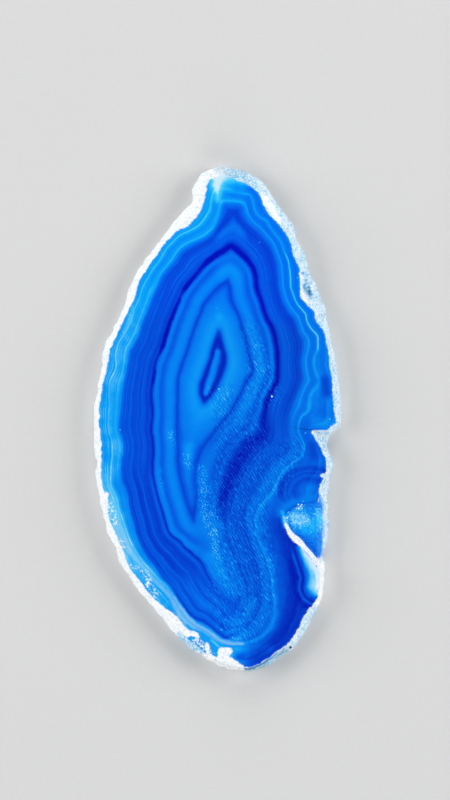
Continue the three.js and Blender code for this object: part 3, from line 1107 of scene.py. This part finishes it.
# Pale threads beside the rind on the lower west side
THREADS = (33.0, 1.0)
THREAD_TONE = (0.44, 0.64)
THREAD_PATCHES = (260.0, 3.0)
THREAD_STRENGTH = (0.42, 0.66, 0.0, 0.15)
THREAD_BY_SIDE = (0.9, 0.1)
THREAD_BY_LEVEL = (3.98, 4.12)

# Soft clouds in all of the dye
CLOUD = (350.0, 4.0)
CLOUD_SHARE = 0.05


def lay_parts(bench, tone, level, parts):
    """Lays the bands of some parts of the stone over a tone."""
    for part in parts:
        tone = bench.mix(bench.mark(part), tone, bench.tones(level, TONES[part]))
    return tone


def make_band_group():
    """Tone of the growth bands, with fine lines between the main ones."""
    bench, _, out = new_group("Growth Bands", {}, {"Tone": VALUE})
    place = bench.place()
    waver = bench.swing(place, *WAVER)
    level = bench.plus(bench.mark("level"), waver, WAVER_SHARE)
    level = bench.plus(level, bench.swing(place, *SHIVER), SHIVER_SHARE)
    heart = bench.tones(level, TONES["heart"])
    outer = lay_parts(bench, bench.tones(level, TONES["west"]), level, ("east", "shoulder", "hip"))
    tone = bench.mix(bench.step(level, *OUTER_RANGE), heart, outer)
    tone = lay_parts(bench, tone, level, ("crown", "foot", "hollow", "tail"))
    tone = bench.mix(bench.step(level, *HEART_RANGE), heart, tone)

    lightest = bench.mix(bench.mark("east"), FAINT_WEST, FAINT_EAST)
    tone = bench.mix(bench.laid("faint"), tone, bench.math("MINIMUM", tone, lightest))

    eye = bench.mark("eye")
    beyond = bench.step(bench.mark("beyond"), *EYE_BEYOND)
    near_eye = bench.times(bench.step(eye, *EYE_RANGE), beyond)
    tone = bench.mix(near_eye, tone, bench.tones(bench.plus(eye, waver, EYE_WAVER), EYE_TONES))
    wave = bench.plus(bench.mark("wave"), waver, EYE_WAVER)
    pool = bench.step(bench.mark("pool"), *POOL_EDGE)
    tone = bench.mix(pool, tone, bench.tones(wave, WAVE_TONES))

    fine = bench.step(bench.lines(level, *FINE_LINES), *FINE_TONE)
    strength = bench.patches(place, FINE_PATCHES, FINE_STRENGTH)
    strength = bench.times(strength, bench.step(level, *FINE_BY_LEVEL))
    strength = bench.times(strength, bench.step(bench.mark("crown"), *FINE_BY_CROWN))
    tone = bench.plus(tone, fine, strength)

    thread = bench.step(bench.lines(level, *THREADS), *THREAD_TONE)
    lit = bench.patches(place, THREAD_PATCHES, THREAD_STRENGTH)
    side = bench.math("ADD", bench.mark("east"), bench.mark("shoulder"))
    lit = bench.times(lit, bench.step(side, *THREAD_BY_SIDE))
    lit = bench.times(lit, bench.step(level, *THREAD_BY_LEVEL))
    tone = bench.plus(tone, thread, lit)
    bench.feed(out["Tone"], bench.plus(tone, bench.swing(place, *CLOUD), CLOUD_SHARE))


# Strokes laid on the bands in turn, as (name, share of the fray, tone), and the lighter areas
FRAY = (900.0, 3.0)
LAID_FIRST = (("cobalt", 0.0, 0.27), ("veil", 1.0, 0.49), ("navy", 0.5, 0.05))
LAID_LAST = (("plume", 1.0, 0.94),)
LIGHT_LIFT = 0.11
SAND = (2400.0, 2.0, 0.6)
PALE_TONE = 0.80
PALE_SAND = 0.35

# Saw marks slope down to the right: a fine hatch that breaks off, and single longer scratches
SAW_TURN = math.radians(-56)
HATCH = {"Scale": 490.0, "Distortion": 5.0, "Detail": 2.0, "Detail Scale": 1.6}
HATCH_RANGE = (0.4, 0.9)
BREAK_SIZE = (0.0010, 0.0005, 0.002)
BREAK_RANGE = (0.37, 0.54)
DASH_MIDDLE = 0.3
DASH_LIFT = 0.15
SCRATCH_SIZE = (0.0015, 0.00036, 0.002)
SCRATCH_RANGE = (0.58, 0.72)
SCRATCH_LIFT = 0.14

# Frost specks: their scatter, a little drawn out along the saw marks; and the milky line
BRIGHT_CORE = 0.4
FROST_SIZE = (1.7, 1, 1)
FROST_SCALE = 3900.0
FROST_RADIUS = 0.62
FROST_SHARE = 0.95
FROST_LIFT = 0.36
MILK_FRAY = 0.9
MILK_WAVER = 0.05
MILK_LINES = (26.0, 2.0)
MILK_RANGE = (0.35, 0.6, 0.45, 1.0)


def lay_tones(bench, tone, fray, rows):
    """Lays strokes of an even tone on in turn."""
    for name, share, laid_tone in rows:
        mask = bench.laid(name, fray, share) if share else bench.laid(name)
        tone = bench.mix(mask, tone, laid_tone)
    return tone


def lay_grains(bench, place, tone, grains):
    """Single bright grains, each a soft round spot."""
    flat = bench.add("ShaderNodeVectorMath", operation="MULTIPLY")
    bench.feed(flat.inputs[0], place)
    flat.inputs[1].default_value = (1, 1, 0)
    for x, y, radius, shine in grains:
        gap = bench.add("ShaderNodeVectorMath", operation="DISTANCE")
        bench.feed(gap.inputs[0], flat.outputs["Vector"])
        gap.inputs[1].default_value = (*from_grid(x, y), 0)
        edge = radius * TRACE_STEP
        tone = bench.mix(bench.step(gap.outputs["Value"], edge, BRIGHT_CORE * edge), tone, shine)
    return tone


def specks(bench, place, scale, radius, share):
    """Scattered dots of uneven brightness: a share of the cells of a scatter has one."""
    spots = bench.add("ShaderNodeTexVoronoi", feature="F1")
    bench.feed(spots.inputs["Vector"], place)
    bench.feed(spots.inputs["Scale"], scale)
    dot = bench.step(spots.outputs["Distance"], radius, BRIGHT_CORE * radius)
    lot = bench.add("ShaderNodeSeparateColor")
    bench.feed(lot.inputs[0], spots.outputs["Color"])
    return bench.times(dot, bench.step(lot.outputs[0], 1 - share, 1.0))


def streaks(bench, place, size):
    """Noise drawn out along the saw marks, as coarse as a size in metres."""
    return bench.noise(bench.turned(place, SAW_TURN, size), 1.0, 1.0)


def make_markings_group():
    """Laid-on markings: dark and light areas, saw marks, frost and white grains."""
    bench, given, out = new_group(
        "Markings", {"Tone": VALUE}, {"Tone": VALUE, "Scratch": VALUE, "Milk": VALUE})
    place = bench.place()
    fray = bench.swing(place, *FRAY)
    tone = lay_tones(bench, given["Tone"], fray, LAID_FIRST)
    tone = bench.plus(tone, bench.laid("light"), LIGHT_LIFT)
    pale = bench.plus(PALE_TONE, bench.swing(place, *SAND), PALE_SAND)
    tone = bench.mix(bench.laid("pale", fray), tone, pale)
    tone = lay_tones(bench, tone, fray, LAID_LAST)

    sawn = bench.laid("saw")
    hatch = bench.add("ShaderNodeTexWave", bands_direction="Y")
    bench.feed(hatch.inputs["Vector"], bench.turned(place, SAW_TURN))
    for name, value in HATCH.items():
        bench.feed(hatch.inputs[name], value)
    breaks = bench.step(streaks(bench, place, BREAK_SIZE), *BREAK_RANGE)
    dashes = bench.times(bench.step(hatch.outputs["Fac"], *HATCH_RANGE), breaks)
    tone = bench.plus(tone, bench.times(bench.minus(dashes, DASH_MIDDLE), sawn), DASH_LIFT)
    scratch = bench.step(streaks(bench, place, SCRATCH_SIZE), *SCRATCH_RANGE)
    scratch = bench.times(scratch, sawn)
    tone = bench.plus(tone, scratch, SCRATCH_LIFT)

    along = bench.turned(place, SAW_TURN, FROST_SIZE)
    speck = specks(bench, along, FROST_SCALE, FROST_RADIUS, FROST_SHARE)
    tone = bench.plus(tone, bench.times(speck, bench.laid("frost", fray)), FROST_LIFT)
    tone = lay_grains(bench, place, tone, GRAINS)

    wavy_level = bench.math("ADD", bench.mark("level"), bench.times(fray, MILK_WAVER))
    layers = bench.step(bench.lines(wavy_level, *MILK_LINES), *MILK_RANGE)
    bench.feed(out["Tone"], tone)
    bench.feed(out["Scratch"], scratch)
    bench.feed(out["Milk"], bench.times(bench.laid("milk", fray, MILK_FRAY), layers))


# White crust: the fray of its edges, the strip of it along the rim, and its loose crumbs
RAGGED = (900.0, 5.0, 0.62)
CHALK_FRAY = 1.1
RIM_WIDTH = 0.04
RIM_FRAY = 1.0
RIM_RANGE = (-0.26, 0.16)
CRUMBS = (1500.0, 4.0, 0.62)
CRUMB_RANGE = (0.47, 0.60)
CREST_HEIGHT = (0.001, 0.002)

# Its colours: a fresh mottle, a worn one with painted shade, and how much of it the east side gets
MOTTLE = (1600.0, 5.0, 0.66)
FRESH_AND_LIT_RIND = ((0.36, "rind_haze"), (0.50, "chalk"))
WORN_AND_SHADED_RIND = ((0.34, "rind_pit"), (0.44, "rind_shade"), (0.55, "rind_haze"), (0.68, "chalk"))
SHADE_AND_WEAR_PATCHES = (260.0, 2.0)
SHADE_AND_WEAR_RANGE = (0.4, 0.6, 0.5, 0.8)
CAVITY_FRAY = 1.2
CHALK_GRIT = (3200.0, 4.0, 0.65)


def make_chalk_group(colours):
    """White crust: where it lies, its mottled colour with painted east shade, and its height."""
    bench, _, out = new_group("Chalk", {}, {"Cover": VALUE, "Color": COLOUR, "Height": VALUE})
    place = bench.place()
    ragged = bench.swing(place, *RAGGED)
    laid = bench.laid("chalk", ragged, CHALK_FRAY)
    strip = bench.minus(bench.plus(RIM_WIDTH, ragged, RIM_FRAY), bench.mark("rim"))
    strip = bench.step(strip, *RIM_RANGE)
    crumbs = bench.patches(place, CRUMBS, CRUMB_RANGE)
    crust = bench.times(bench.laid("crust"), crumbs)
    hole = bench.laid("hole")
    height = bench.add("ShaderNodeSeparateXYZ")
    bench.feed(height.inputs[0], place)
    on_crest = bench.step(height.outputs["Z"], *CREST_HEIGHT)
    ridge = bench.times(bench.laid("ridge", ragged, CHALK_FRAY), on_crest)
    cover = hole
    for white in (laid, strip, crust, ridge):
        cover = bench.math("MAXIMUM", cover, white)

    mottle = bench.noise(place, *MOTTLE)
    fresh_and_lit = bench.ramp(mottle, colour_stops(colours, FRESH_AND_LIT_RIND))
    worn = bench.ramp(mottle, colour_stops(colours, WORN_AND_SHADED_RIND))
    # East side: the darker mottle in patches, as painted shade with real wear and grey patches
    patches = bench.patches(place, SHADE_AND_WEAR_PATCHES, SHADE_AND_WEAR_RANGE)
    shade_and_wear = bench.times(bench.mark("east"), patches)
    shade_and_wear = bench.math("MAXIMUM", shade_and_wear, bench.laid("grey"))
    shade_and_wear = bench.minus(shade_and_wear, bench.laid("clean"), clamp=True)
    colour = bench.mix_colour(shade_and_wear, fresh_and_lit, worn)
    dent = bench.laid("cavity", ragged, CAVITY_FRAY)
    colour = bench.mix_colour(dent, colour, linear(colours.rind_pit))
    # Painted shadow: the small pit in the lower rim is coloured near-black
    colour = bench.mix_colour(hole, colour, linear(colours.hole))
    bench.feed(out["Cover"], cover)
    bench.feed(out["Color"], colour)
    bench.feed(out["Height"], bench.noise(place, *CHALK_GRIT))


# Broken quartz: its tone in patches, the strokes laid on in turn, and its grain
QUARTZ_PATCHES = (300.0, 3.0)
QUARTZ_TONE = (0.3, 0.7, 0.48, 0.57)
QUARTZ_LAID = (("teal", 0.0, 0.66), ("shade", 0.0, 0.40), ("hail", 1.0, 0.76), ("sugar", 1.0, 0.79))
QUARTZ_GRAIN = (2200.0, 3.0, 0.6)
GRAIN_FRAY = 2.4
GRAIN_SHARE = 0.6


def make_quartz_group():
    """Broken quartz in the chip: teal glassy stone with a patch of white sugar crystals."""
    bench, _, out = new_group("Quartz", {}, {"Tone": VALUE, "Grain": VALUE})
    place = bench.place()
    grain = bench.noise(place, *QUARTZ_GRAIN)
    fray = bench.plus(-NOISE_MIDDLE * GRAIN_FRAY, grain, GRAIN_FRAY)
    tone = bench.patches(place, QUARTZ_PATCHES, QUARTZ_TONE)
    tone = lay_tones(bench, tone, fray, QUARTZ_LAID)
    tone = bench.plus(tone, bench.minus(grain, NOISE_MIDDLE), GRAIN_SHARE)
    bench.feed(out["Tone"], lay_grains(bench, place, tone, CHIP_GRAINS))
    bench.feed(out["Grain"], grain)


# Gloss of the two sawn faces as (roughness, haze), and what the laid-on marks do to it
POLISHED_GLOSS = (0.16, 0.06)
SAWN_GLOSS = (0.34, 0.2)
HAZE = (160.0, 4.0)
MILK_COVER = 0.8
SCRATCH_ROUGHNESS = 0.1
SCRATCH_HEIGHT = -0.25
CHALK_ROUGHNESS = 0.8
STONE_IOR = 1.54

# Bumps as (strength, depth in metres)
FACE_BUMP = (0.5, 0.00008)
RIND_BUMP = (0.5, 0.00015)
CHIP_BUMP = (0.6, 0.0001)

# The rind's roughness, and its bare stretch: streaks that follow the rim
RIND_ROUGHNESS = (0.3, 0.7, 0.7, 0.9)
BARE_PATCHES = (900.0, 3.0)
BARE_FRAY = 2.0
BARE_LINES = (1.4, 2.0)
BARE_WAVER = 0.5
BARE_RANGE = (0.40, 0.58)
GLASS_FRAY = 0.6

# The broken stone in the chip: roughness by its grain, and its weak mirror
CHIP_ROUGHNESS = (0.3, 0.7, 0.35, 0.6)
CHIP_SPECULAR = 0.07


def new_material(name):
    """A material with its bench and its shader."""
    material = bpy.data.materials.new(name)
    material.use_nodes = True
    tree = material.node_tree
    return material, Bench(tree), tree.nodes["Principled BSDF"]


def give_finish(bench, shader, colour, roughness, height, bump):
    """Feeds a shader its colour, its roughness and the bump of a height."""
    node = bench.add("ShaderNodeBump")
    bench.feed(node.inputs["Height"], height)
    for name, value in zip(("Strength", "Distance"), bump):
        node.inputs[name].default_value = value
    bench.feed(shader.inputs["Base Color"], colour)
    bench.feed(shader.inputs["Roughness"], roughness)
    bench.feed(shader.inputs["Normal"], node.outputs["Normal"])


def banded_material(name, colours, roughness, haze):
    """Banded stone on a flat sawn face."""
    material, bench, shader = new_material(name)
    bands = bench.group("Growth Bands")
    marks = bench.group("Markings", bands["Tone"])
    dye = bench.group("Dye", marks["Tone"])
    chalk = bench.group("Chalk")
    milk = bench.times(marks["Milk"], MILK_COVER)
    colour = bench.mix_colour(milk, dye["Color"], linear(colours.milk))
    colour = bench.mix_colour(chalk["Cover"], colour, chalk["Color"])
    rough = bench.plus(roughness, bench.noise(bench.place(), *HAZE), haze)
    rough = bench.plus(rough, marks["Scratch"], SCRATCH_ROUGHNESS)
    rough = bench.mix(chalk["Cover"], rough, CHALK_ROUGHNESS)
    height = bench.times(chalk["Height"], chalk["Cover"])
    height = bench.plus(height, marks["Scratch"], SCRATCH_HEIGHT)
    give_finish(bench, shader, colour, rough, height, FACE_BUMP)
    shader.inputs["IOR"].default_value = STONE_IOR
    return material


def rind_material(colours):
    """Chalky rind, with bare streaks where it is worn away and glassy stone by the chip."""
    material, bench, shader = new_material("Chalky Rind")
    chalk = bench.group("Chalk")
    patches = bench.noise(bench.place(), *BARE_PATCHES)
    lines = bench.lines(bench.mark("rim"), *BARE_LINES)
    lines = bench.plus(lines, bench.minus(patches, NOISE_MIDDLE), BARE_WAVER)
    bare = bench.mix_colour(
        bench.step(lines, *BARE_RANGE), linear(colours.bare_dark), linear(colours.bare_light))
    fray = bench.plus(-NOISE_MIDDLE * BARE_FRAY, patches, BARE_FRAY)
    colour = bench.mix_colour(bench.laid("bare", fray), chalk["Color"], bare)
    dye = bench.group("Dye", bench.group("Quartz")["Tone"])
    colour = bench.mix_colour(bench.laid("glass", fray, GLASS_FRAY), colour, dye["Color"])
    rough = bench.step(chalk["Height"], *RIND_ROUGHNESS)
    give_finish(bench, shader, colour, rough, chalk["Height"], RIND_BUMP)
    return material


def broken_material():
    """The floor and walls of the chip, with the white crust on their crest."""
    material, bench, shader = new_material("Broken Quartz")
    chalk = bench.group("Chalk")
    quartz = bench.group("Quartz")
    dye = bench.group("Dye", quartz["Tone"])
    crest = bench.step(bench.mark("ridge"), -CREST_SOFT, CREST_SOFT)
    colour = bench.mix_colour(crest, dye["Color"], chalk["Color"])
    rough = bench.step(quartz["Grain"], *CHIP_ROUGHNESS)
    give_finish(bench, shader, colour, rough, quartz["Grain"], CHIP_BUMP)
    shader.inputs["Specular IOR Level"].default_value = CHIP_SPECULAR
    return material


# Operators

def link(thing):
    """Puts an object into the scene."""
    bpy.context.scene.collection.objects.link(thing)
    return thing


class AGATE_OT_add_slice(bpy.types.Operator):
    """Builds the banded slice over the stone of the frame"""
    bl_idname = "agate.add_slice"
    bl_label = "Add Agate Slice"

    def execute(self, context):
        scene = context.scene
        mesh = build_stone_mesh(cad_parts[STONE_NODE], scene.agate_shape)
        mark_stone(mesh)
        colours = scene.agate_colours
        make_dye_group(colours)
        make_band_group()
        make_markings_group()
        make_chalk_group(colours)
        make_quartz_group()
        mesh.materials.append(banded_material("Polished Agate", colours, *POLISHED_GLOSS))
        mesh.materials.append(banded_material("Sawn Agate", colours, *SAWN_GLOSS))
        mesh.materials.append(rind_material(colours))
        mesh.materials.append(broken_material())
        stone = link(bpy.data.objects.new("agate_slice_dressed", mesh))
        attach(stone, "root")
        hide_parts(STONE_NODE)
        return {"FINISHED"}


# The floor, half its width in metres, and the paper that it is made of
FLOOR_SIZE = 1.5
FLOOR_FIBRE = (900.0, 3.0)
FIBRE_SHADE = 0.96
FLOOR_ROUGHNESS = 0.9

# Square lights as (name, place, setting that holds their power)
LIGHT_SIZE = 0.6
LIGHTS = (
    ("side_light_left", (-0.80, 0.05, 0.40), "side_power"),
    ("side_light_right", (0.80, 0.10, 0.42), "side_power"),
    ("end_light_far", (0.0, 0.85, 0.45), "end_power"),
    ("end_light_near", (0.05, -0.85, 0.45), "end_power"),
)
SKY_COLOUR = (0.9, 0.95, 1.0, 1.0)
SKY_STRENGTH = 0.03

# The camera looks straight down on this spot, and its picture is this high on the polished face
CAMERA_TARGET = (0.00185, 0.00469)
PICTURE_HEIGHT = 0.2002
SENSOR = 36.0
CLIP_RANGE = (0.01, 10.0)


class AGATE_OT_add_studio(bpy.types.Operator):
    """Lays a pale floor and sets soft lights and the camera"""
    bl_idname = "agate.add_studio"
    bl_label = "Add Studio"

    def execute(self, context):
        scene = context.scene
        studio = scene.agate_studio
        plane = bmesh.new()
        bmesh.ops.create_grid(plane, x_segments=1, y_segments=1, size=FLOOR_SIZE)
        mesh = bpy.data.meshes.new("studio_floor")
        plane.to_mesh(mesh)
        plane.free()
        material, bench, shader = new_material("Studio Paper")
        pale = linear(studio.floor)
        shade = (*(c * FIBRE_SHADE for c in pale[:3]), 1.0)
        fibre = bench.noise(bench.place(), *FLOOR_FIBRE)
        bench.feed(shader.inputs["Base Color"], bench.mix_colour(fibre, pale, shade))
        shader.inputs["Roughness"].default_value = FLOOR_ROUGHNESS
        mesh.materials.append(material)
        floor = link(bpy.data.objects.new("studio_floor", mesh))

        for name, place, power in LIGHTS:
            lamp = bpy.data.lights.new(name, "AREA")
            lamp.shape = "SQUARE"
            lamp.size = LIGHT_SIZE
            lamp.energy = getattr(studio, power)
            light = link(bpy.data.objects.new(name, lamp))
            light.location = place
            aim = Vector((0, 0, 0)) - Vector(place)
            light.rotation_euler = aim.to_track_quat("-Z", "Y").to_euler()

        world = bpy.data.worlds.new("Studio")
        world.use_nodes = True
        sky = world.node_tree.nodes["Background"]
        sky.inputs["Color"].default_value = SKY_COLOUR
        sky.inputs["Strength"].default_value = SKY_STRENGTH
        scene.world = world

        lens = bpy.data.cameras.new("camera")
        lens.lens = studio.lens
        lens.sensor_width = SENSOR
        lens.clip_start, lens.clip_end = CLIP_RANGE
        camera = link(bpy.data.objects.new("camera", lens))
        height = PICTURE_HEIGHT * studio.lens / SENSOR + SOLID_BOX[1].z
        camera.location = (*CAMERA_TARGET, height)
        bpy.context.scene.camera = camera
        scene.view_settings.view_transform = "Standard"
        return {"FINISHED"}


class AGATE_PT_sidebar(bpy.types.Panel):
    """Buttons and settings of the agate slice"""
    bl_idname = "AGATE_PT_sidebar"
    bl_label = "Agate Slice"
    bl_space_type = "VIEW_3D"
    bl_region_type = "UI"
    bl_category = "Agate"

    def draw(self, context):
        scene = context.scene
        for operator, settings in (
            (AGATE_OT_add_slice, (scene.agate_shape, scene.agate_colours)),
            (AGATE_OT_add_studio, (scene.agate_studio,)),
        ):
            self.layout.operator(operator.bl_idname)
            for group in settings:
                for name in group.bl_rna.properties.keys():
                    if name not in ("rna_type", "name"):
                        self.layout.prop(group, name)


CLASSES = (
    StoneShape, StoneColours, StudioSettings,
    AGATE_OT_add_slice, AGATE_OT_add_studio, AGATE_PT_sidebar,
)


def register():
    for cls in CLASSES:
        bpy.utils.register_class(cls)
    bpy.types.Scene.agate_shape = PointerProperty(type=StoneShape)
    bpy.types.Scene.agate_colours = PointerProperty(type=StoneColours)
    bpy.types.Scene.agate_studio = PointerProperty(type=StudioSettings)


def unregister():
    del bpy.types.Scene.agate_studio
    del bpy.types.Scene.agate_colours
    del bpy.types.Scene.agate_shape
    for cls in reversed(CLASSES):
        bpy.utils.unregister_class(cls)


def main():
    register()
    bpy.ops.agate.add_slice()
    bpy.ops.agate.add_studio()


if __name__ == "__main__":
    main()
